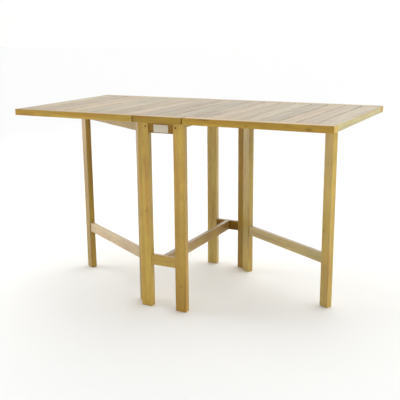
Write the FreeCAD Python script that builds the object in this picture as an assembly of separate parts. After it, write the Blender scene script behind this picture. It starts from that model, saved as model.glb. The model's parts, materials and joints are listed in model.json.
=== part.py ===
import FreeCAD, Part
import math
import os

# Gate-leg garden table in solid teak, in millimetres. X runs along the table, Y across it and Z up.
# The origin is on the floor under the middle. The table looks the same after half a turn about Z,
# so the right leaf and the right gate are modelled once and turned for the left side.

os.makedirs("parts", exist_ok=True)

Vector = FreeCAD.Vector
along_x = Vector(1, 0, 0)
along_y = Vector(0, 1, 0)
along_z = Vector(0, 0, 1)
origin = Vector(0, 0, 0)
half_turn = 180
quarter_turn = 90
full_turn = 360

# Table top: slats between two long rails, with a wide stile at each end of the table
table_height = 740.0
table_width = 650.0
top_thickness = 24.0
top_rail_width = 45.0
slat_width = 63.0
slat_gap = 5.0
centre_slat_count = 3
leaf_slat_count = 7
end_stile_width = 70.5
leaf_gap = 4.0

# Tongues on the ends of slats and stiles, in mortises in the top rails
tongue_thickness = 8.0
tongue_length = 14.0
tongue_shoulder = 5.0
tongue_end_gap = 0.5

# Boards of the frame and the gates
leg_width = 45.0
gate_leg_width = 42.0
leg_thickness = 24.0
rail_height = 40.0
rail_thickness = 18.0
stretcher_lift = 170.0
frame_overhang = 27.0
frame_inset = 2.5
arris = 1.2
foot_chamfer = 2.5

# Mortise and tenon joints of the frame and the gates
tenon_thickness = 8.0
tenon_length = 26.0
tenon_shoulder = 5.0
tenon_end_gap = 0.5
spine_tenon_length = 10.0

# Pegs through the apron tenons
peg_radius = 3.4
peg_clearance = 0.05
peg_length = 20.0
peg_edge_distance = 10.5
peg_drop = 17.0

# Screws up through the spine rail into the middle slat
screw_count = 3
screw_end_distance = 85.0
screw_head_radius = 4.5
screw_head_height = 3.0
screw_shank_radius = 2.25
screw_bite = 15.0
screw_clearance = 0.05
counterbore_radius = 5.5
counterbore_depth = 22.0

# Gates: how far they open from folded, and the room that they swing in
gate_open_angle = 60.0
gate_drop = 3.0
gate_post_gap = 2.0
gate_end_clearance = 3.0

# Glide on top of each gate's outer leg
glide_radius = 9.0
glide_edge_distance = 10.5
glide_crown_radius = 6.5
glide_rim = 1.2
glide_gap = 0.3
glide_stem_radius = 3.0
glide_stem_length = 12.0
glide_stem_clearance = 0.05

# Stop block under each leaf, beside the open gate's outer leg
stop_length = 38.0
stop_width = 22.0
stop_depth = 16.0
stop_setback = 3.0
stop_clearance = 0.3

# Hinges: brass flaps with three knuckles on a steel pin
flap_thickness = 1.5
knuckle_count = 3
fixed_knuckles = [0, 2]
moving_knuckles = [1]
knuckle_gap = 0.3
pin_radius = 1.1
pin_clearance = 0.05
barrel_relief = 0.3
leaf_hinge_count = 3
leaf_hinge_end_distance = 65.0
leaf_hinge_length = 60.0
leaf_flap_width = 28.0
leaf_barrel_radius = 2.2
gate_hinge_length = 50.0
gate_flap_margin = 4.0
gate_barrel_radius = 2.4
gate_barrel_stand_off = 0.2
gate_hinge_end_distance = 100.0

# Pegs, pins, barrels and screws are small rounds with a set number of flats
round_sides = 16
cut_overrun = 5.0

# Places worked out from the sizes above
underside = table_height - top_thickness
half_width = table_width / 2
slat_pitch = slat_width + slat_gap
slat_end = half_width - top_rail_width
centre_half = (centre_slat_count * slat_pitch - slat_gap) / 2
leaf_axis_x = centre_half + leaf_gap / 2
leaf_inner = centre_half + leaf_gap
leaf_outer = leaf_inner + leaf_slat_count * slat_pitch + end_stile_width
top_mid = underside + top_thickness / 2
leg_outer_x = centre_half - frame_inset
leg_inner_x = leg_outer_x - leg_width
leg_outer_y = half_width - frame_overhang
leg_inner_y = leg_outer_y - leg_thickness
leg_mid_y = (leg_outer_y + leg_inner_y) / 2
rail_inner_y = leg_mid_y - rail_thickness / 2
apron_bottom = underside - rail_height
stretcher_top = stretcher_lift + rail_height
gate_top = underside - gate_drop
gate_x0 = leg_outer_x - leg_thickness
gate_mid_x = leg_outer_x - leg_thickness / 2
gate_hinge_y = leg_inner_y - gate_post_gap
gate_free_y = gate_end_clearance - leg_inner_y
gate_axis = Vector(leg_outer_x + gate_barrel_stand_off, leg_inner_y - gate_post_gap / 2, 0)
gate_flap_width = leg_thickness - gate_flap_margin
gate_hinge_heights = [gate_hinge_end_distance, gate_top - gate_hinge_end_distance]


def box(x0, x1, y0, y1, z0, z1):
    return Part.makeBox(x1 - x0, y1 - y0, z1 - z0, Vector(x0, y0, z0))


def eased(shape, grain, size):
    edges = [e for e in shape.Edges if abs(e.tangentAt(e.FirstParameter).dot(grain)) == 1]
    return shape.makeChamfer(size, edges)


def board(x0, x1, y0, y1, z0, z1, grain):
    return eased(box(x0, x1, y0, y1, z0, z1), grain, arris)


def leg_board(x0, x1, y0, y1, top):
    blank = box(x0, x1, y0, y1, 0, top)
    floor_edges = [e for e in blank.Edges if e.BoundBox.ZMax < foot_chamfer]
    return board(x0, x1, y0, y1, 0, top, along_z).common(blank.makeChamfer(foot_chamfer, floor_edges))


# A small round bar along Z on the origin, whose corners lie at the given radius
def round_bar(radius, low, high):
    corners = []
    for i in range(round_sides + 1):
        angle = math.radians(full_turn * i / round_sides)
        corners.append(Vector(radius * math.cos(angle), radius * math.sin(angle), low))
    return Part.Face(Part.makePolygon(corners)).extrude(Vector(0, 0, high - low))


# The cut for such a bar, whose flats lie at the given radius
def round_cut(radius, low, high):
    return round_bar(radius / math.cos(math.pi / round_sides), low, high)


# Evenly spread places from -reach to +reach
def spread(count, reach):
    return [reach * (2 * i / (count - 1) - 1) for i in range(count)]


def turned(shape, angle, centre=origin, axis=along_z):
    copy = shape.copy()
    copy.rotate(centre, axis, angle)
    return copy


def half_turned(shape):
    return turned(shape, half_turn)


def opened(shape):
    return turned(shape, gate_open_angle, gate_axis)


def export(node, *solids):
    shape = solids[0] if len(solids) == 1 else Part.makeCompound(list(solids))
    shape.exportStep("parts/" + node + ".step")


def export_pair(node, *solids):
    export("right_" + node, *solids)
    export("left_" + node, *[half_turned(s) for s in solids])


# A slat or stile across the top, with a tongue on both ends
def slat(x0, x1):
    plank = board(x0, x1, -slat_end, slat_end, underside, table_height, along_y)
    return plank.fuse(slat_tongue(x0, x1, tongue_length)).removeSplitter()


# The tongues of one slat as a single bar, long enough for both ends
def slat_tongue(x0, x1, reach):
    return box(
        x0 + tongue_shoulder, x1 - tongue_shoulder,
        -slat_end - reach, slat_end + reach,
        top_mid - tongue_thickness / 2, top_mid + tongue_thickness / 2,
    )


# A long rail of the top on the +Y side, mortised for every slat and stile in the list of spans
def top_rail(x0, x1, spans):
    rail = board(x0, x1, slat_end, half_width, underside, table_height, along_x)
    mortises = [slat_tongue(a, b, tongue_length + tongue_end_gap) for a, b in spans]
    return rail.cut(mortises)


# One hinge flap about an upright pin at the origin, reaching towards -X, with its plate at +Y offset
def hinge_flap(length, width, radius, offset, own_knuckles):
    neck = radius + barrel_relief
    plate = box(-width, -neck, offset, offset + flap_thickness, -length / 2, length / 2)
    pitch = length / knuckle_count
    pieces = []
    for i in own_knuckles:
        low = i * pitch - length / 2 + knuckle_gap / 2
        high = low + pitch - knuckle_gap
        pieces.append(box(-neck, 0, offset, offset + flap_thickness, low, high))
        pieces.append(round_bar(radius, low, high))
    bore_end = length / 2 + cut_overrun
    bore = round_cut(pin_radius + pin_clearance, -bore_end, bore_end)
    return plate.fuse(pieces).cut(bore).removeSplitter()


def hinge_pin(length):
    return round_bar(pin_radius, -length / 2, length / 2)


# Leaf hinges lie along Y with their flaps flush in the underside of the top
def laid_leaf_hinge(shape, y):
    laid = turned(shape, quarter_turn, origin, along_x)
    laid.translate(Vector(leaf_axis_x, y, underside))
    return laid


leaf_hinge_places = spread(leaf_hinge_count, slat_end - leaf_hinge_end_distance)
leaf_flap_sizes = (leaf_hinge_length, leaf_flap_width, leaf_barrel_radius, 0)
leaf_flap = hinge_flap(*leaf_flap_sizes, fixed_knuckles)
leaf_flap_moving = hinge_flap(*leaf_flap_sizes, moving_knuckles)
leaf_flap_moving = leaf_flap_moving.mirror(origin, along_x)
leaf_fixed_flaps = [laid_leaf_hinge(leaf_flap, y) for y in leaf_hinge_places]
leaf_moving_flaps = [laid_leaf_hinge(leaf_flap_moving, y) for y in leaf_hinge_places]
leaf_pins = [laid_leaf_hinge(hinge_pin(leaf_hinge_length), y) for y in leaf_hinge_places]
leaf_hinge_beds = [
    box(
        leaf_axis_x - leaf_flap_width, leaf_axis_x + leaf_flap_width,
        y - leaf_hinge_length / 2, y + leaf_hinge_length / 2,
        underside, underside + flap_thickness,
    )
    for y in leaf_hinge_places
]

# Centre panel
centre_starts = [i * slat_pitch - centre_half for i in range(centre_slat_count)]
centre_spans = [(x, x + slat_width) for x in centre_starts]
centre_rail = top_rail(-centre_half, centre_half, centre_spans)
export("centre_rear_rail", centre_rail)
export("centre_front_rail", half_turned(centre_rail))

screw_seat = apron_bottom + counterbore_depth
screw_tip = underside + screw_bite
shank = round_bar(screw_shank_radius, screw_seat, screw_tip)
head = round_bar(screw_head_radius, screw_seat - screw_head_height, screw_seat)
screw = shank.fuse(head).removeSplitter()
screw_hole = round_cut(screw_shank_radius + screw_clearance, screw_seat, screw_tip)
counterbore = round_cut(counterbore_radius, apron_bottom - cut_overrun, screw_seat)
screw_places = [along_y * y for y in spread(screw_count, rail_inner_y - screw_end_distance)]
screw_holes = [screw_hole.translated(p) for p in screw_places]
counterbores = [counterbore.translated(p) for p in screw_places]
export("top_fixing_screws", *[screw.translated(p) for p in screw_places])

far_side_beds = [half_turned(b) for b in leaf_hinge_beds]
for number, (x0, x1) in enumerate(centre_spans, 1):
    centre_slat = slat(x0, x1).cut(leaf_hinge_beds + far_side_beds + screw_holes)
    export("centre_slat_%d" % number, centre_slat)

export("leaf_hinge_fixed_flaps", *leaf_fixed_flaps, *[half_turned(f) for f in leaf_fixed_flaps])
export("leaf_hinge_pins", *leaf_pins, *[half_turned(p) for p in leaf_pins])

# Leaves, made on the right side
leaf_starts = [leaf_inner + i * slat_pitch for i in range(leaf_slat_count)]
leaf_spans = [(x, x + slat_width) for x in leaf_starts]
end_stile_span = (leaf_outer - end_stile_width, leaf_outer)
leaf_rail = top_rail(leaf_inner, leaf_outer, leaf_spans + [end_stile_span])
mirrored_rail = leaf_rail.mirror(origin, along_y)
export("right_leaf_rear_rail", leaf_rail)
export("left_leaf_front_rail", half_turned(leaf_rail))
export("right_leaf_front_rail", mirrored_rail)
export("left_leaf_rear_rail", half_turned(mirrored_rail))
export_pair("leaf_end_stile", slat(*end_stile_span))
for number, (x0, x1) in enumerate(leaf_spans, 1):
    export_pair("leaf_slat_%d" % number, slat(x0, x1).cut(leaf_hinge_beds))
export_pair("leaf_hinge_flaps", *leaf_moving_flaps)

stop_x = leg_outer_x + stop_clearance
stop_y = gate_free_y + stop_setback
stop_block = board(
    stop_x, stop_x + stop_width, stop_y, stop_y + stop_length, underside - stop_depth, underside, along_y
)
export_pair("leaf_stop_block", opened(stop_block))


# A rail between two legs, along X or Y, with a tenon of the given length on both ends
def tenoned_rail(low, high, across, z0, z1, grain, reach):
    half = rail_thickness / 2
    half_tenon = tenon_thickness / 2
    tenon_z0 = z0 + tenon_shoulder
    tenon_z1 = z1 - tenon_shoulder
    if grain is along_x:
        rail = board(low, high, across - half, across + half, z0, z1, grain)
        tenon = box(low - reach, high + reach, across - half_tenon, across + half_tenon, tenon_z0, tenon_z1)
    else:
        rail = board(across - half, across + half, low, high, z0, z1, grain)
        tenon = box(across - half_tenon, across + half_tenon, low - reach, high + reach, tenon_z0, tenon_z1)
    return rail.fuse(tenon).removeSplitter()


# The bar that cuts both mortises for such a rail
def mortise_bar(low, high, across, z0, z1, grain, reach):
    return tenoned_rail(low, high, across, z0, z1, grain, reach + tenon_end_gap)


# Fixed frame: aprons and foot rails along X, spine rail and long stretcher along Y
apron_place = (-leg_inner_x, leg_inner_x, leg_mid_y, apron_bottom, underside, along_x)
foot_rail_place = (-leg_inner_x, leg_inner_x, leg_mid_y, stretcher_lift, stretcher_top, along_x)
spine_place = (-rail_inner_y, rail_inner_y, 0, apron_bottom, underside, along_y)
long_stretcher_place = (-rail_inner_y, rail_inner_y, 0, stretcher_lift, stretcher_top, along_y)

peg = turned(round_bar(peg_radius, 0, peg_length), quarter_turn, origin, along_x)
peg_hole = round_cut(peg_radius + peg_clearance, -cut_overrun, peg_length)
peg_hole = turned(peg_hole, quarter_turn, origin, along_x)
peg_x = leg_inner_x + peg_edge_distance
peg_places = [Vector(x, leg_outer_y, underside - peg_drop) for x in (-peg_x, peg_x)]
pegs = [peg.translated(p) for p in peg_places]
peg_holes = [peg_hole.translated(p) for p in peg_places]
export("apron_pegs", *pegs, *[half_turned(p) for p in pegs])

apron_cuts = [mortise_bar(*spine_place, spine_tenon_length)] + peg_holes
apron = tenoned_rail(*apron_place, tenon_length).cut(apron_cuts)
foot_rail = tenoned_rail(*foot_rail_place, tenon_length)
foot_rail = foot_rail.cut(mortise_bar(*long_stretcher_place, spine_tenon_length))
spine = tenoned_rail(*spine_place, spine_tenon_length).cut(counterbores + screw_holes)
export("rear_apron", apron)
export("front_apron", half_turned(apron))
export("rear_foot_rail", foot_rail)
export("front_foot_rail", half_turned(foot_rail))
export("top_spine_rail", spine)
export("long_stretcher", tenoned_rail(*long_stretcher_place, spine_tenon_length))

# Gate hinges stand upright at the leg's outer corner, closed while the gate is folded
flap_offset = gate_post_gap / 2
gate_flap_sizes = (gate_hinge_length, gate_flap_width, gate_barrel_radius, flap_offset)
gate_flap = hinge_flap(*gate_flap_sizes, fixed_knuckles)
gate_flap_moving = hinge_flap(*gate_flap_sizes, moving_knuckles)
gate_flap_moving = gate_flap_moving.mirror(origin, along_y)
half_hinge = gate_hinge_length / 2
half_bed = flap_offset + flap_thickness
relief_end = half_hinge + barrel_relief
flap_bed = box(-gate_flap_width, 0, -half_bed, half_bed, -half_hinge, half_hinge)
barrel_bed = round_cut(gate_barrel_radius + barrel_relief, -relief_end, relief_end)
gate_hinge_places = [gate_axis + along_z * z for z in gate_hinge_heights]
gate_fixed_flaps = [gate_flap.translated(p) for p in gate_hinge_places]
gate_moving_flaps = [gate_flap_moving.translated(p) for p in gate_hinge_places]
gate_pins = [hinge_pin(gate_hinge_length).translated(p) for p in gate_hinge_places]
gate_hinge_beds = [bed.translated(p) for p in gate_hinge_places for bed in (flap_bed, barrel_bed)]
export("gate_hinge_fixed_flaps", *gate_fixed_flaps, *[half_turned(f) for f in gate_fixed_flaps])
export("gate_hinge_pins", *gate_pins, *[half_turned(p) for p in gate_pins])

# Legs: the rear right one and the front left one carry the gates
leg_cuts = [
    mortise_bar(*apron_place, tenon_length),
    mortise_bar(*foot_rail_place, tenon_length),
] + peg_holes
hinge_leg = leg_board(leg_inner_x, leg_outer_x, leg_inner_y, leg_outer_y, underside)
plain_leg = hinge_leg.mirror(origin, along_x)
hinge_leg = hinge_leg.cut(leg_cuts + gate_hinge_beds)
plain_leg = plain_leg.cut(leg_cuts)
export("rear_right_leg", hinge_leg)
export("front_left_leg", half_turned(hinge_leg))
export("rear_left_leg", plain_leg)
export("front_right_leg", half_turned(plain_leg))

# Gates, made folded between the right legs and then swung open about the hinge pins
post_inner_y = gate_hinge_y - gate_leg_width
outer_leg_inner_y = gate_free_y + gate_leg_width
top_rail_place = (outer_leg_inner_y, post_inner_y, gate_mid_x, gate_top - rail_height, gate_top, along_y)
foot_place = (outer_leg_inner_y, post_inner_y, gate_mid_x, stretcher_lift, stretcher_top, along_y)
gate_cuts = [mortise_bar(*top_rail_place, tenon_length), mortise_bar(*foot_place, tenon_length)]
glide_centre = Vector(gate_mid_x, gate_free_y + glide_edge_distance, gate_top)
glide_height = gate_drop - glide_gap
glide_outline = [
    Vector(0, 0, -glide_stem_length),
    Vector(glide_stem_radius, 0, -glide_stem_length),
    Vector(glide_stem_radius, 0, 0),
    Vector(glide_radius, 0, 0),
    Vector(glide_radius, 0, glide_rim),
    Vector(glide_crown_radius, 0, glide_height),
    Vector(0, 0, glide_height),
]
glide = Part.Face(Part.makePolygon(glide_outline + glide_outline[:1])).revolve(origin, along_z, full_turn)
stem_hole_radius = glide_stem_radius + glide_stem_clearance
stem_hole_length = glide_stem_length + tenon_end_gap
stem_hole = Part.makeCylinder(stem_hole_radius, stem_hole_length, glide_centre, -along_z)

post = leg_board(gate_x0, leg_outer_x, post_inner_y, gate_hinge_y, gate_top)
post = post.cut(gate_cuts + gate_hinge_beds)
outer_leg = leg_board(gate_x0, leg_outer_x, gate_free_y, outer_leg_inner_y, gate_top)
outer_leg = outer_leg.cut(gate_cuts + [stem_hole])
export_pair("gate_post", opened(post))
export_pair("gate_leg", opened(outer_leg))
export_pair("gate_top_rail", opened(tenoned_rail(*top_rail_place, tenon_length)))
export_pair("gate_stretcher", opened(tenoned_rail(*foot_place, tenon_length)))
export_pair("gate_hinge_flaps", *[opened(f) for f in gate_moving_flaps])
export_pair("gate_glide", opened(glide.translated(glide_centre)))
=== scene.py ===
import json
import math

import bmesh
import bpy
from mathutils import Euler, Matrix, Vector


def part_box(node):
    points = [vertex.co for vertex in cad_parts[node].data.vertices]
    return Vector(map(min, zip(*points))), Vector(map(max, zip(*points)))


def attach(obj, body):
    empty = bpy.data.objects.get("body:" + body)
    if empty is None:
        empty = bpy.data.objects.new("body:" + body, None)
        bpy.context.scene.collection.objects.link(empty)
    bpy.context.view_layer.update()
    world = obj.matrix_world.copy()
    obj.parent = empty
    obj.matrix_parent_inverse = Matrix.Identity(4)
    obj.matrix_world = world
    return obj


# Teak gate-leg garden table. The boards, hinges and pins come with the frame and get their finish here.
# New pieces are the hinge screws and the blank plate on the front apron.

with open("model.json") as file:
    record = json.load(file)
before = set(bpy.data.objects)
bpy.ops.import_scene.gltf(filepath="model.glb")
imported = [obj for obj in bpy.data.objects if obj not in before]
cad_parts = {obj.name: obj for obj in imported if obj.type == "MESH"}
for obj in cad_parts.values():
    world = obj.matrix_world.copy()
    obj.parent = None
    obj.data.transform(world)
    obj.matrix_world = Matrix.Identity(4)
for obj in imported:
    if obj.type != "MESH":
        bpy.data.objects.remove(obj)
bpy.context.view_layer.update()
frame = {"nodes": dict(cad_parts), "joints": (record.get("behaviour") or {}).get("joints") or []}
nodes = frame["nodes"]
scene = bpy.context.scene


def metres(sizeMm):
    return sizeMm / 1000


def perMetre(sizeMm):  # texture scale of a pattern that repeats every sizeMm
    return 1000 / sizeMm


def linear(hexCode):  # sRGB hex to the linear colour that the sockets take
    channels = [int(hexCode[i:i + 2], 16) / 255 for i in (1, 3, 5)]
    return [c / 12.92 if c <= 0.04045 else ((c + 0.055) / 1.055) ** 2.4 for c in channels] + [1.0]


def addNode(tree, kind, inputs, **settings):
    node = tree.nodes.new("ShaderNode" + kind)
    for name, value in settings.items():
        setattr(node, name, value)
    for name, value in inputs.items():
        if isinstance(value, bpy.types.NodeSocket):
            tree.links.new(value, node.inputs[name])
        else:
            node.inputs[name].default_value = value
    return node


def startMaterial(name, **constants):  # what is the same all over goes on the shader's own sockets
    material = bpy.data.materials.new(name)
    material.use_nodes = True
    shader = material.node_tree.nodes["Principled BSDF"]
    for socket, value in constants.items():
        shader.inputs[socket.replace("_", " ")].default_value = value
    return material, material.node_tree, shader


def mottle(tree, shader, sizeMm, detail, colours):  # patches of two colours
    place = addNode(tree, "TexCoord", {})
    patches = addNode(tree, "TexNoise", {
        "Vector": place.outputs["Object"], "Scale": perMetre(sizeMm), "Detail": detail,
    })
    colour = addNode(tree, "MixRGB", {
        "Fac": patches.outputs["Fac"], "Color1": linear(colours[0]), "Color2": linear(colours[1]),
    })
    tree.links.new(colour.outputs["Color"], shader.inputs["Base Color"])
    return place, patches


def roughen(tree, shader, pattern, roughness):
    rough = addNode(tree, "MapRange", {
        "Value": pattern.outputs["Fac"], "To Min": roughness[0], "To Max": roughness[1],
    })
    tree.links.new(rough.outputs["Result"], shader.inputs["Roughness"])


def dress(name, material):
    nodes[name].data.materials.clear()
    nodes[name].data.materials.append(material)


# Planed and sanded teak: straight brown streaks along the board, satin, with fine open pores
teak = {
    "ringMm": 15.0,  # real rings are about 5 mm, drawn coarser so that they show
    "ringDistortion": 5.0,
    "ringDetail": 3.0,
    "ringDetailScale": 0.6,
    "ringContrast": 0.42,
    "stretch": 16.0,  # the figure runs this much longer than it is wide
    "streakMm": 20.0,
    "streakDetail": 3.0,
    "streakRoughness": 0.55,
    "streakRange": (0.42, 0.72),
    "streakContrast": 0.8,
    "fibreMm": 2.4,  # real fibres are under 1 mm, drawn coarser so that they show
    "fibreDetail": 2.0,
    "fibreRoughness": 0.6,
    "fibreRange": (0.35, 0.7),
    "fibreDark": 0.16,
    "fibreDepthMm": 0.12,
    "fibreBump": 0.6,
    "cloudMm": 130.0,  # slow changes along a board
    "cloudDetail": 1.0,
    "cloudRange": (0.3, 0.7),
    "cloudShade": 0.09,
    "roughness": (0.42, 0.28),  # in the pores, and on the wood between them
    "ior": 1.5,
    "gloss": 0.5,
    "pithMm": (55.0, 24.0),  # from the middle of a board to the middle of its log
    "cutStepMm": 730.0,  # each board is cut this much further along the log
    "faceRange": (0.6, 0.85),  # how squarely a surface faces a way before it takes that face's tone
    "footReach": 0.8,  # how far up a leg the colour of its foot fades out
    "knotColour": "#6b4a1a",
    "knotWander": 0.9,
    "knotRange": (0.4, 1.4),
}
ringScale = 2 * math.pi / 20  # at this scale the wave texture draws one ring a metre

# Early wood, late wood, warm streak and end grain of each batch of boards
tones = {
    "golden": ("#cfac4a", "#b08b39", "#bb8838", "#d8b453"),
    "tawny": ("#be9b3b", "#a17d2d", "#ab7a2c", "#d0ac48"),
    "straw": ("#c5ab5a", "#a5863e", "#af8643", "#cdb266"),
    "olive": ("#a97f22", "#8a6412", "#93681a", "#b48c34"),
    "umber": ("#b69856", "#9e7e42", "#a47a42", "#bca060"),
    "honey": ("#d3b65d", "#b49348", "#be8f47", "#d8b862"),
    "pale": ("#d6c385", "#bca366", "#c19d65", "#d8c68a"),
    "fawn": ("#d6bf91", "#bfa276", "#c69f79", "#d8c68a"),
    "sallow": ("#c3b67a", "#ac9b69", "#b19765", "#d8b453"),
    # drab, for the slats: its pale grey on their sides is painted light in the gaps between slats
    "drab": ("#c0b49d", "#a99b83", "#ad977c", "#c0b49d"),
}

# Upper faces are paler and greyer: partly drier wood, partly painted sheen and highlight. The narrow sides
# of legs get painted shade or painted light
faceTones = {
    "ashen": ("#b9a886", "#84734f", "#8f7553"),
    "rosy": ("#b9a381", "#856d4a", "#90704d"),
    "straw": ("#bba57d", "#88704a", "#94744a"),
    # creamy, on the upper faces of the top's rails: drier wood with a painted highlight
    "creamy": ("#bfa26b", "#927443", "#9b7443"),
    "bare": ("#bda887", "#a99170", "#ae8d6b"),
    # painted shade on the narrow sides of the front legs
    "shadedSide": ("#c1a348", "#a58338", "#ae8036"),
    # painted light on the narrow sides of the rear left leg
    "litSide": ("#ccb16c", "#ab8b4b", "#b58b51"),
}

gateTurn = 30.0  # degrees from X to the line of an open gate, clockwise from above
grainTurns = {
    "x": (0.0, 0.0, 0.0),
    "y": (0.0, 0.0, -90.0),
    "z": (0.0, 90.0, 0.0),
    "gate": (0.0, 0.0, gateTurn),
}


def grainPatterns(tree, boardPlace):
    stretched = addNode(tree, "Mapping", {"Vector": boardPlace, "Scale": (1 / teak["stretch"], 1, 1)})
    grain = stretched.outputs["Vector"]
    rings = addNode(tree, "TexWave", {
        "Vector": grain, "Scale": ringScale * perMetre(teak["ringMm"]), "Distortion": teak["ringDistortion"],
        "Detail": teak["ringDetail"], "Detail Scale": teak["ringDetailScale"],
    }, wave_type="RINGS", rings_direction="X", wave_profile="SIN")
    streaks = addNode(tree, "TexNoise", {
        "Vector": grain, "Scale": perMetre(teak["streakMm"]),
        "Detail": teak["streakDetail"], "Roughness": teak["streakRoughness"],
    })
    fibres = addNode(tree, "TexNoise", {
        "Vector": grain, "Scale": perMetre(teak["fibreMm"]),
        "Detail": teak["fibreDetail"], "Roughness": teak["fibreRoughness"],
    })
    return rings, streaks, fibres


def figureShares(tree, rings, streaks):  # how much late wood and how much warm streak shows
    start, full = teak["streakRange"]
    ringShare = addNode(tree, "MapRange", {"Value": rings.outputs["Fac"], "To Max": teak["ringContrast"]})
    streakShare = addNode(tree, "MapRange", {
        "Value": streaks.outputs["Fac"], "From Min": start, "From Max": full,
        "To Max": teak["streakContrast"],
    }, interpolation_type="SMOOTHSTEP")
    return ringShare.outputs["Result"], streakShare.outputs["Result"]


def figure(tree, shares, early, late, warm):
    ringShare, streakShare = shares
    ringed = addNode(tree, "MixRGB", {"Fac": ringShare, "Color1": linear(early), "Color2": linear(late)})
    return addNode(tree, "MixRGB", {
        "Fac": streakShare, "Color1": ringed.outputs["Color"], "Color2": linear(warm),
    }).outputs["Color"]


def facing(tree, normal, way, bothSides):
    value = addNode(tree, "VectorMath", {0: normal, 1: way}, operation="DOT_PRODUCT").outputs["Value"]
    if bothSides:
        value = addNode(tree, "Math", {0: value}, operation="ABSOLUTE").outputs["Value"]
    start, full = teak["faceRange"]
    return addNode(tree, "MapRange", {"Value": value, "From Min": start, "From Max": full}).outputs["Result"]


def footShare(tree, place, low, high, share):  # most at the foot of a leg, none further up
    height = addNode(tree, "SeparateXYZ", {"Vector": place.outputs["Object"]})
    end = low.z + teak["footReach"] * (high.z - low.z)
    return addNode(tree, "MapRange", {
        "Value": height.outputs["Z"], "From Min": low.z, "From Max": end, "To Min": share, "To Max": 0.0,
    }, interpolation_type="SMOOTHSTEP").outputs["Result"]


def knotShare(tree, boardPlace, streaks, centre, radiusMm, length, depth):
    away = addNode(tree, "VectorMath", {0: boardPlace, 1: centre}, operation="SUBTRACT")
    across = perMetre(radiusMm)
    scaled = addNode(tree, "VectorMath", {
        0: away.outputs["Vector"], 1: (across / length, across, across),
    }, operation="MULTIPLY")
    reach = addNode(tree, "VectorMath", {0: scaled.outputs["Vector"]}, operation="LENGTH")
    ragged = addNode(tree, "Math", {
        0: streaks.outputs["Fac"], 1: teak["knotWander"], 2: reach.outputs["Value"],
    }, operation="MULTIPLY_ADD")
    start, end = teak["knotRange"]
    return addNode(tree, "MapRange", {
        "Value": ragged.outputs["Value"], "From Min": start, "From Max": end, "To Min": depth, "To Max": 0.0,
    }, interpolation_type="SMOOTHSTEP").outputs["Result"]


def shadeBoard(tree, colour, boardPlace, fibres, shade):  # dark pores, and slow clouds along the board
    start, full = teak["cloudRange"]
    clouds = addNode(tree, "TexNoise", {
        "Vector": boardPlace, "Scale": perMetre(teak["cloudMm"]), "Detail": teak["cloudDetail"],
    })
    cloudShade = addNode(tree, "MapRange", {
        "Value": clouds.outputs["Fac"], "From Min": start, "From Max": full,
        "To Min": 1 - teak["cloudShade"], "To Max": 1 + teak["cloudShade"],
    })
    start, full = teak["fibreRange"]
    fibreShade = addNode(tree, "MapRange", {
        "Value": fibres.outputs["Fac"], "From Min": start, "From Max": full,
        "To Min": shade * (1 - teak["fibreDark"]), "To Max": shade * (1 + teak["fibreDark"] / 2),
    })
    both = addNode(tree, "Math", {
        0: fibreShade.outputs["Result"], 1: cloudShade.outputs["Result"],
    }, operation="MULTIPLY")
    shaded = addNode(tree, "VectorMath", {0: colour, "Scale": both.outputs["Value"]}, operation="SCALE")
    return shaded.outputs["Vector"]


def makeTeak(name, board, number):
    low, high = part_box(name)
    turn = Euler([math.radians(a) for a in grainTurns[board["grain"]]])
    grainAxis = turn.to_matrix().transposed() @ Vector((1, 0, 0))
    pithY, pithZ = map(metres, teak["pithMm"])
    pithY *= 1 if number % 2 else -1  # boards come from all sides of the log
    pithZ *= 1 if number // 2 % 2 else -1
    cut = Vector((metres(teak["cutStepMm"]) * number, pithY, pithZ))
    start = cut - turn.to_matrix() @ ((low + high) / 2)

    material, tree, shader = startMaterial(
        "teak_" + name, IOR=teak["ior"], Specular_IOR_Level=board["gloss"],
    )
    place = addNode(tree, "TexCoord", {})
    normal = place.outputs["Normal"]
    boardPlace = addNode(tree, "Mapping", {
        "Vector": place.outputs["Object"], "Rotation": turn, "Location": start,
    }).outputs["Vector"]
    rings, streaks, fibres = grainPatterns(tree, boardPlace)
    shares = figureShares(tree, rings, streaks)

    early, late, warm, endGrain = tones[board["tone"]]
    colour = figure(tree, shares, early, late, warm)
    # end grain; on the rails beside the slits it is painted shade
    endColour = addNode(tree, "MixRGB", {
        "Fac": shares[0], "Color1": linear(board.get("end", endGrain)), "Color2": linear(late),
    }).outputs["Color"]
    layers = []  # what shows where, from the lowest layer to the uppermost
    # the narrow sides of legs, facing along X, take painted shade or painted light
    if "edge" in board:
        edgeColour = figure(tree, shares, *faceTones[board["edge"]])
        layers.append((facing(tree, normal, (1, 0, 0), True), edgeColour))
    # a colour fading up from the foot: painted light on the left gate leg, darker towards the foot on the
    # front right leg
    if "foot" in board:
        footTone, share = board["foot"]
        footColour = figure(tree, shares, *tones[footTone][:3])
        layers.append((footShare(tree, place, low, high, share), footColour))
    layers.append((facing(tree, normal, grainAxis, True), endColour))
    # upper faces: partly drier wood, partly painted sheen and highlight
    if "face" in board:
        faceColour = figure(tree, shares, *faceTones[board["face"]])
        layers.append((facing(tree, normal, (0, 0, 1), False), faceColour))
    for spotShares, radiusMm, length, depth in board["knots"]:
        spot = Vector([a + share * (b - a) for a, b, share in zip(low, high, spotShares)])
        centre = turn.to_matrix() @ spot + start
        knot = knotShare(tree, boardPlace, streaks, centre, radiusMm, length, depth)
        layers.append((knot, linear(teak["knotColour"])))
    for share, layer in layers:
        colour = addNode(tree, "MixRGB", {"Fac": share, "Color1": colour, "Color2": layer}).outputs["Color"]

    tree.links.new(shadeBoard(tree, colour, boardPlace, fibres, board["shade"]), shader.inputs["Base Color"])
    roughen(tree, shader, fibres, teak["roughness"])
    bump = addNode(tree, "Bump", {
        "Height": fibres.outputs["Fac"],
        "Distance": metres(teak["fibreDepthMm"]), "Strength": teak["fibreBump"],
    })
    tree.links.new(bump.outputs["Normal"], shader.inputs["Normal"])
    return material


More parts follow.
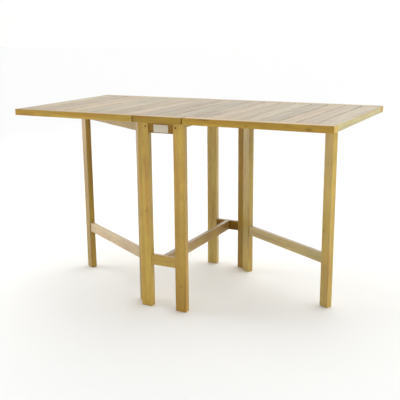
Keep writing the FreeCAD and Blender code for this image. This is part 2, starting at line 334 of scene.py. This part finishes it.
# Oiled teak end grain: the pegs show as dark dots
pegTeak = {
    "poreMm": 1.5,  # real pores are about 0.3 mm, drawn coarser so that they show
    "poreDetail": 2.0,
    "colours": ("#4f3310", "#80571c"),
    "roughness": 0.6,
    "gloss": 0.25,
}


def makePegTeak():
    material, tree, shader = startMaterial(
        "teak_peg_end_grain",
        Roughness=pegTeak["roughness"], IOR=teak["ior"], Specular_IOR_Level=pegTeak["gloss"],
    )
    mottle(tree, shader, pegTeak["poreMm"], pegTeak["poreDetail"], pegTeak["colours"])
    return material


# Rolled brass flaps: warm yellow metal, brushed one way and a little tarnished
brassFlap = {
    "tarnishMm": 14.0,
    "tarnishDetail": 4.0,
    "colours": ("#d9b870", "#a8843f"),
    "brushMm": 0.9,  # real brushing is about 0.1 mm, drawn coarser so that it shows
    "brushDetail": 1.0,
    "brushStretch": 20.0,
    "roughness": (0.26, 0.46),
}


def makeBrass():
    material, tree, shader = startMaterial("brass_rolled_flap", Metallic=1.0)
    place, _ = mottle(tree, shader, brassFlap["tarnishMm"], brassFlap["tarnishDetail"], brassFlap["colours"])
    brushed = addNode(tree, "Mapping", {
        "Vector": place.outputs["Object"], "Scale": (1, 1 / brassFlap["brushStretch"], 1),
    })
    lines = addNode(tree, "TexNoise", {
        "Vector": brushed.outputs["Vector"], "Scale": perMetre(brassFlap["brushMm"]),
        "Detail": brassFlap["brushDetail"],
    })
    roughen(tree, shader, lines, brassFlap["roughness"])
    return material


# Drawn steel pins and zinc-plated screws: cool grey metal with faint mottling
zincSteel = {
    "mottleMm": 3.0,
    "mottleDetail": 3.0,
    "colours": ("#c9c9c4", "#96968f"),
    "roughness": (0.28, 0.45),
}


def makeSteel():
    material, tree, shader = startMaterial("steel_zinc_plated", Metallic=1.0)
    _, patches = mottle(tree, shader, zincSteel["mottleMm"], zincSteel["mottleDetail"], zincSteel["colours"])
    roughen(tree, shader, patches, zincSteel["roughness"])
    return material


# Moulded nylon: off-white, slightly waxy, with a grained skin
nylon = {
    "skinMm": 4.0,  # real grain is under 1 mm, drawn coarser so that it shows
    "skinDetail": 3.0,
    "glideColours": ("#e6e2d6", "#d2cdbf"),
    "roughness": (0.34, 0.5),
    "ior": 1.53,
}


def makeNylon(name, colours):
    material, tree, shader = startMaterial(name, IOR=nylon["ior"])
    _, patches = mottle(tree, shader, nylon["skinMm"], nylon["skinDetail"], colours)
    roughen(tree, shader, patches, nylon["roughness"])
    return material


steel = makeSteel()
hardware = {  # by a word in the node's name; all other nodes are teak boards
    "pegs": makePegTeak(),
    "flaps": makeBrass(),
    "pins": steel,
    "screws": steel,
    "glide": makeNylon("nylon_moulded", nylon["glideColours"]),
}
teakBoards = [name for name in sorted(nodes) if not any(word in name for word in hardware)]

dryGloss = 0.25  # the boards of the top and the aprons are less oiled than the rest
slitShadeEnd = "#8a692b"  # end grain beside the slits of the centre panel, darkened as painted shade in the slits

# Which way each board's grain runs, its batch, its brightness and gloss, and where its colour differs.
# The first rule that fits is used
boardRules = [
    ("stop_block", {"grain": "gate", "tone": "straw"}),
    # gate top rails: darkened as painted shade under the leaves
    ("gate_top_rail", {"grain": "gate", "tone": "tawny", "shade": 0.73, "gloss": 0.2}),
    ("right_gate_stretcher", {"grain": "gate", "tone": "pale", "face": "bare", "shade": 0.87}),
    ("left_gate_stretcher", {"grain": "gate", "tone": "fawn", "shade": 0.92}),
    # slats: their sides in the gaps take painted light from the drab tone
    ("centre_slat", {"grain": "y", "tone": "drab", "shade": 0.77, "gloss": dryGloss}),
    ("slat", {"grain": "y", "tone": "drab", "gloss": dryGloss}),
    ("end_stile", {"grain": "y", "tone": "sallow", "face": "ashen", "shade": 1.0, "gloss": dryGloss}),
    ("spine_rail", {"grain": "y", "tone": "straw"}),
    ("long_stretcher", {"grain": "y", "tone": "umber", "face": "bare", "shade": 0.8}),
    ("left_leaf_front_rail", {
        "grain": "x", "tone": "golden", "face": "creamy", "shade": 0.94, "gloss": dryGloss, "end": slitShadeEnd,
    }),
    ("right_leaf_front_rail", {
        "grain": "x", "tone": "tawny", "face": "creamy", "shade": 1.05, "gloss": dryGloss,
    }),
    ("centre_front_rail", {
        "grain": "x", "tone": "tawny", "face": "creamy", "shade": 0.86, "gloss": dryGloss, "end": slitShadeEnd,
    }),
    ("rear_rail", {"grain": "x", "tone": "tawny", "face": "creamy", "gloss": dryGloss}),
    # aprons: darker wood, and darker still as painted shade under the top's overhang
    ("apron", {"grain": "x", "tone": "olive", "shade": 0.92, "gloss": dryGloss}),
    # rear foot rail: darkened as painted shade under the table
    ("rear_foot_rail", {"grain": "x", "tone": "olive", "face": "bare", "shade": 0.62, "gloss": 0.2}),
    ("foot_rail", {"grain": "x", "tone": "golden", "shade": 0.97}),
    # left gate leg: darkened as painted shade under the table, its paler foot painted light
    ("left_gate_leg", {"grain": "z", "tone": "tawny", "shade": 0.76, "gloss": 0.3, "foot": ("honey", 0.45)}),
    ("left_gate_post", {"grain": "z", "tone": "tawny", "shade": 0.86}),
    ("right_gate_post", {"grain": "z", "tone": "straw", "shade": 0.9}),
    ("right_gate_leg", {"grain": "z", "tone": "honey", "shade": 0.97}),
    ("rear_left_leg", {"grain": "z", "tone": "straw", "edge": "litSide", "shade": 0.96}),
    ("rear_right_leg", {"grain": "z", "tone": "tawny", "shade": 0.88}),
    ("front_right_leg", {
        "grain": "z", "tone": "golden", "edge": "shadedSide", "shade": 1.07, "foot": ("olive", 0.7),
    }),
    ("leg", {"grain": "z", "tone": "golden", "edge": "shadedSide", "shade": 0.97}),
]
slatFaces = ["rosy", "rosy", "rosy", "straw", "ashen", "ashen", "straw"]  # from slat to slat
shadeSteps = [0.91, 0.82, 0.98, 0.86, 0.94, 0.81, 1.0]  # from board to board, where a rule gives no shade

# Shares of the board's box, radius in mm, how much longer than wide, and how dark
knotPlaces = {
    "right_leaf_front_rail": [
        ((0.158, 0.0, 0.875), 6, 7, 0.9),
        ((0.447, 0.0, 0.333), 9, 0.8, 0.4),
        ((0.848, 0.0, 0.333), 9, 2.2, 0.65),
    ],
    "front_right_leg": [((0.533, 0.0, 0.142), 5, 2.2, 0.7), ((0.622, 0.0, 0.21), 4, 12, 0.3)],
    "front_left_leg": [((0.622, 0.0, 0.531), 4.5, 2.5, 0.6), ((0.667, 0.0, 0.472), 3, 3, 0.4)],
    "right_gate_leg": [((0.415, 0.231, 0.785), 4, 2.5, 0.6), ((0.203, 0.354, 0.421), 6, 2.2, 0.55)],
}

for number, name in enumerate(teakBoards):
    board = dict(next(settings for word, settings in boardRules if word in name))
    if "slat" in name:
        board["face"] = slatFaces[number % len(slatFaces)]
    board.setdefault("shade", shadeSteps[number % len(shadeSteps)])
    board.setdefault("gloss", teak["gloss"])
    board["knots"] = knotPlaces.get(name, [])
    dress(name, makeTeak(name, board, number))
print("teak: %d boards" % len(teakBoards))

for name in sorted(set(nodes) - set(teakBoards)):
    dress(name, next(material for word, material in hardware.items() if word in name))
print("hardware: %d nodes" % (len(nodes) - len(teakBoards)))


# Sanding softens every edge of a board; hardware and small pieces keep a finer edge
edges = {
    "teakMm": 0.7, "hardwareMm": 0.15, "pieceMm": 0.12,
    "nodeAngle": 25.0, "pieceAngle": 40.0, "segments": 2,
    "weldMm": 0.01, "flatAngle": 0.5,  # these join the frame's triangles into whole faces
}


def softenEdges(piece, widthMm, angle):
    soften = piece.modifiers.new("soften", "BEVEL")
    soften.width = metres(widthMm)
    soften.segments = edges["segments"]
    soften.limit_method = "ANGLE"
    soften.angle_limit = math.radians(angle)
    piece.modifiers.new("shading", "WEIGHTED_NORMAL")
    return soften


for name, node in sorted(nodes.items()):
    weld = node.modifiers.new("weld", "WELD")
    weld.merge_threshold = metres(edges["weldMm"])
    flat = node.modifiers.new("flat", "DECIMATE")
    flat.decimate_type = "DISSOLVE"
    flat.angle_limit = math.radians(edges["flatAngle"])
    soften = softenEdges(node, edges["teakMm" if name in teakBoards else "hardwareMm"], edges["nodeAngle"])
    soften.loop_slide = False  # sliding would lift some corners out of the board
print("edges softened")


def addPiece(name, mesh, material, body):
    for face in mesh.faces:
        face.smooth = True
    data = bpy.data.meshes.new(name)
    mesh.to_mesh(data)
    mesh.free()
    data.materials.append(material)
    piece = bpy.data.objects.new(name, data)
    scene.collection.objects.link(piece)
    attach(piece, body)
    softenEdges(piece, edges["pieceMm"], edges["pieceAngle"])


def extrudeOutline(mesh, outline, low, high, place):
    bottom = [mesh.verts.new(place @ Vector((x, y, low))) for x, y in outline]
    top = [mesh.verts.new(place @ Vector((x, y, high))) for x, y in outline]
    mesh.faces.new(bottom[::-1])
    mesh.faces.new(top)
    for i in range(len(outline)):
        j = (i + 1) % len(outline)
        mesh.faces.new((bottom[i], bottom[j], top[j], top[i]))


def arc(radius, start, end, steps, centre=(0, 0)):
    angles = [start + (end - start) * i / steps for i in range(steps + 1)]
    return [(centre[0] + radius * math.cos(a), centre[1] + radius * math.sin(a)) for a in angles]


# Slotted screws in the hinge flaps: a sunk disc with two half-moon lands
hingeScrew = {
    "radiusMm": 3.1, "sinkMm": 0.5, "discMm": 0.15, "landMm": 0.3, "slotMm": 0.8,
    "landShare": 0.96,  # the lands' radius as a share of the disc's
    "steps": 16,
}


def addScrew(mesh, place, angle):
    radius = metres(hingeScrew["radiusMm"])
    bottom = -metres(hingeScrew["sinkMm"])
    disc = metres(hingeScrew["discMm"])
    land = metres(hingeScrew["landMm"])
    place = place @ Matrix.Rotation(angle, 4, "Z")
    extrudeOutline(mesh, arc(radius, 0, 2 * math.pi, 2 * hingeScrew["steps"])[:-1], bottom, disc, place)
    lean = math.asin(hingeScrew["slotMm"] / 2 / hingeScrew["radiusMm"])
    for turn in (0, math.pi):
        landRadius = radius * hingeScrew["landShare"]
        outline = arc(landRadius, turn + lean, turn + math.pi - lean, hingeScrew["steps"])
        extrudeOutline(mesh, outline, disc, land, place)


hingeAxes = {joint["name"]: Vector(joint["pos_m"]) for joint in frame["joints"]}

# Leaf hinges: three screws in each flap, seen from below
leafHinge = {
    "lengthMm": 60.0, "middleMm": 16.2, "staggerMm": 4.0, "pitchMm": 19.0,
    "slotTurns": (0.7, 1.9),  # radians from hinge to hinge and from screw to screw
}


def leafHingeScrews(fixed):
    mesh = bmesh.new()
    low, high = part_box("right_leaf_hinge_flaps")
    half = metres(leafHinge["lengthMm"]) / 2
    hingeTurn, screwTurn = leafHinge["slotTurns"]
    for i, y in enumerate((low.y + half, (low.y + high.y) / 2, high.y - half)):
        for k in (-1, 0, 1):
            across = leafHinge["middleMm"] + leafHinge["staggerMm"] * (1 if k == 0 else -1)
            shift = Vector((metres(-across if fixed else across), y + metres(k * leafHinge["pitchMm"]), 0))
            spot = hingeAxes["right_leaf_lift"] + shift
            place = Matrix.Translation(spot) @ Matrix.Rotation(math.pi, 4, "X")
            addScrew(mesh, place, hingeTurn * i + screwTurn * k)
    return mesh


# Gate hinges: two screws in each flap, seen between leg and post
gateHinge = {
    "heightMm": 50.0, "middleMm": 11.2, "pitchMm": 24.0, "faceMm": 1.0, "openDeg": 60.0,
    "slotTurns": (1.1, 0.6),  # radians from hinge to hinge and from screw to screw
}


def gateHingeScrews(fixed):
    mesh = bmesh.new()
    low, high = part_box("right_gate_hinge_flaps")
    half = metres(gateHinge["heightMm"]) / 2
    hingeTurn, screwTurn = gateHinge["slotTurns"]
    away = 1 if fixed else -1  # the two flaps face each other across the pin
    for i, z in enumerate((low.z + half, high.z - half)):
        for k in (-1, 1):
            height = z + k * metres(gateHinge["pitchMm"]) / 2
            spot = (-metres(gateHinge["middleMm"]), away * metres(gateHinge["faceMm"]), height)
            place = Matrix.Translation(spot) @ Matrix.Rotation(away * math.pi / 2, 4, "X")
            if not fixed:
                place = Matrix.Rotation(math.radians(gateHinge["openDeg"]), 4, "Z") @ place
            place = Matrix.Translation(hingeAxes["right_gate_swing"]) @ place
            addScrew(mesh, place, hingeTurn * i + screwTurn * k)
    return mesh


for side in ("left", "right"):
    for kind, build in (("leaf", leafHingeScrews), ("gate", gateHingeScrews)):
        for fixed in (True, False):
            mesh = build(fixed)
            if side == "left":  # the left side is the right one after half a turn
                bmesh.ops.rotate(mesh, matrix=Matrix.Rotation(math.pi, 3, "Z"), verts=mesh.verts)
            name = "%s_%s_hinge_screws" % (side, kind)
            if fixed:
                addPiece(name + "_fixed", mesh, steel, "centre_frame")
            else:
                addPiece(name, mesh, steel, side + "_" + kind)
print("hinge screws fitted")


# Blank plate on the front apron, moulded, with rounded corners
plate = {
    "widthMm": 61.0, "heightMm": 28.0, "thickMm": 1.0, "cornerMm": 2.0, "cornerSteps": 5,
    "offCentreMm": 1.0,
    "belowTopMm": 23.0,  # from the apron's upper edge to the middle of the plate
    "colours": ("#ddd4c1", "#d1c8b3"),
}


def makePlate():
    mesh = bmesh.new()
    low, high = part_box("front_apron")
    halfWidth = plate["widthMm"] / 2 - plate["cornerMm"]
    halfHeight = plate["heightMm"] / 2 - plate["cornerMm"]
    quarter = math.pi / 2
    outline = []
    for i, (sideX, sideY) in enumerate(((1, 1), (-1, 1), (-1, -1), (1, -1))):
        centre = (sideX * halfWidth, sideY * halfHeight)
        corner = arc(plate["cornerMm"], i * quarter, (i + 1) * quarter, plate["cornerSteps"], centre)
        outline += [(metres(x), metres(y)) for x, y in corner]
    middle = (low.x + high.x) / 2 + metres(plate["offCentreMm"])
    spot = (middle, low.y, high.z - metres(plate["belowTopMm"]))
    place = Matrix.Translation(spot) @ Matrix.Rotation(quarter, 4, "X")
    extrudeOutline(mesh, outline, 0, metres(plate["thickMm"]), place)
    return mesh


plateNylon = makeNylon("nylon_blank_plate", plate["colours"])
addPiece("blank_plate", makePlate(), plateNylon, "centre_frame")
print("blank plate fitted")


# Painted studio floor: pale and matt, with faint broad patches from the roller
studioFloor = {
    "sizeM": 60.0,
    "patchMm": 400.0,
    "patchDetail": 2.0,
    "colours": ("#f7f8f8", "#f5f6f6"),
    "roughness": 0.9,
}


def makeFloor():
    material, tree, shader = startMaterial("studio_floor_painted", Roughness=studioFloor["roughness"])
    mottle(tree, shader, studioFloor["patchMm"], studioFloor["patchDetail"], studioFloor["colours"])
    bpy.ops.mesh.primitive_plane_add(size=studioFloor["sizeM"])
    floor = bpy.context.object
    floor.name = "studio_floor"
    floor.data.materials.append(material)


# Soft light from overhead, a softbox at the left, and a pale room lit at the back and the right
light = {
    "sunStrength": 1.39,
    "sunAngle": 80.0,
    "sunFrom": (0.0, 0.15, 1.0),
    "softboxPowerW": 57.0,
    "softboxSizeM": 2.4,
    "softboxAt": (-3.3, -0.3, 1.3),
    "softboxAim": (0.0, 0.0, 0.4),
    "roomColour": "#fdfdfb",
    "walls": {  # way to the wall, its brightness low down and at half height
        "back": ((0.0, 1.0, 0.0), 1.1, 3.0),
        "left": ((-1.0, 0.0, 0.0), 0.95, 0.0),
        "right": ((1.0, 0.0, 0.0), 0.0, 2.9),
    },
    "wallFocus": 2.0,  # how fast a wall darkens to its sides
    "halfHeightRange": (0.25, 0.35),  # heights in the room are sines of the angle above the horizon
    "ceilingRange": (0.6, 0.75),
    "skirting": 1.0,  # brightness all round at the horizon, fading upwards
    "skirtingRange": (0.06, 0.45),
}


def hangLamp(name, kind, energy, spot, target):
    lamp = bpy.data.lights.new(name, kind)
    lamp.energy = energy
    hung = bpy.data.objects.new(name, lamp)
    scene.collection.objects.link(hung)
    hung.location = spot
    hung.rotation_mode = "QUATERNION"
    hung.rotation_quaternion = (Vector(target) - Vector(spot)).to_track_quat("-Z", "Y")
    return lamp


def makeLights():
    sun = hangLamp("overhead_light", "SUN", light["sunStrength"], light["sunFrom"], (0, 0, 0))
    sun.angle = math.radians(light["sunAngle"])
    softbox = hangLamp(
        "left_softbox", "AREA", light["softboxPowerW"], light["softboxAt"], light["softboxAim"],
    )
    softbox.size = light["softboxSizeM"]


def makeRoom():
    room = bpy.data.worlds.new("pale_room")
    scene.world = room
    room.use_nodes = True
    tree = room.node_tree
    background = tree.nodes["Background"]
    background.inputs["Color"].default_value = linear(light["roomColour"])
    way = addNode(tree, "TexCoord", {}).outputs["Generated"]
    height = addNode(tree, "SeparateXYZ", {"Vector": way}).outputs["Z"]
    level = addNode(tree, "VectorMath", {0: way, 1: (1, 1, 0)}, operation="MULTIPLY")
    heading = addNode(tree, "VectorMath", {0: level.outputs["Vector"]}, operation="NORMALIZE")
    start, end = light["ceilingRange"]
    ceiling = addNode(tree, "MapRange", {
        "Value": height, "From Min": start, "From Max": end, "To Min": 1.0, "To Max": 0.0,
    })
    strength = 0.0
    for wallWay, low, half in light["walls"].values():
        toward = addNode(tree, "VectorMath", {
            0: heading.outputs["Vector"], 1: wallWay,
        }, operation="DOT_PRODUCT")
        ahead = addNode(tree, "Math", {0: toward.outputs["Value"], 1: 0.0}, operation="MAXIMUM")
        share = addNode(tree, "Math", {0: ahead.outputs["Value"], 1: light["wallFocus"]}, operation="POWER")
        start, end = light["halfHeightRange"]
        upwards = addNode(tree, "MapRange", {
            "Value": height, "From Min": start, "From Max": end, "To Min": low, "To Max": half,
        })
        wall = addNode(tree, "Math", {
            0: upwards.outputs["Result"], 1: ceiling.outputs["Result"],
        }, operation="MULTIPLY")
        strength = addNode(tree, "Math", {
            0: wall.outputs["Value"], 1: share.outputs["Value"], 2: strength,
        }, operation="MULTIPLY_ADD").outputs["Value"]
    start, end = light["skirtingRange"]
    skirting = addNode(tree, "MapRange", {
        "Value": height, "From Min": start, "From Max": end, "To Min": light["skirting"], "To Max": 0.0,
    })
    strength = addNode(tree, "Math", {0: strength, 1: skirting.outputs["Result"]}, operation="MAXIMUM")
    tree.links.new(strength.outputs["Value"], background.inputs["Strength"])


# The photograph's view: place, turn and crop fitted to the table's corners and edges, for a 400 by 400 frame
view = {
    "atMm": (1302.71, -2523.32, 1049.93),
    "yaw": 0.4919,  # turns are in radians
    "pitch": -0.2411,
    "roll": -0.0119,
    "focalPx": 717.51,
    "offCentrePx": (12.0, 3.0),  # the photograph is cropped off centre
    "framePx": 400,
    "sensorMm": 36.0,
}


def makeCamera():
    yaw, pitch, roll = view["yaw"], view["pitch"], view["roll"]
    forward = Vector((-math.sin(yaw) * math.cos(pitch), math.cos(yaw) * math.cos(pitch), math.sin(pitch)))
    level = Vector((math.cos(yaw), math.sin(yaw), 0))
    upright = level.cross(forward)
    right = math.cos(roll) * level + math.sin(roll) * upright
    up = right.cross(forward)
    data = bpy.data.cameras.new("photo_camera")
    data.sensor_width = view["sensorMm"]
    data.lens = view["sensorMm"] * view["focalPx"] / view["framePx"]
    data.shift_x, data.shift_y = (shift / view["framePx"] for shift in view["offCentrePx"])
    camera = bpy.data.objects.new("photo_camera", data)
    scene.collection.objects.link(camera)
    turn = Matrix((right, up, -forward)).transposed().to_4x4()
    camera.matrix_world = Matrix.Translation(Vector(map(metres, view["atMm"]))) @ turn
    scene.camera = camera


makeFloor()
makeLights()
makeRoom()
makeCamera()
scene.view_settings.view_transform = "Standard"
print("floor, light and camera set")
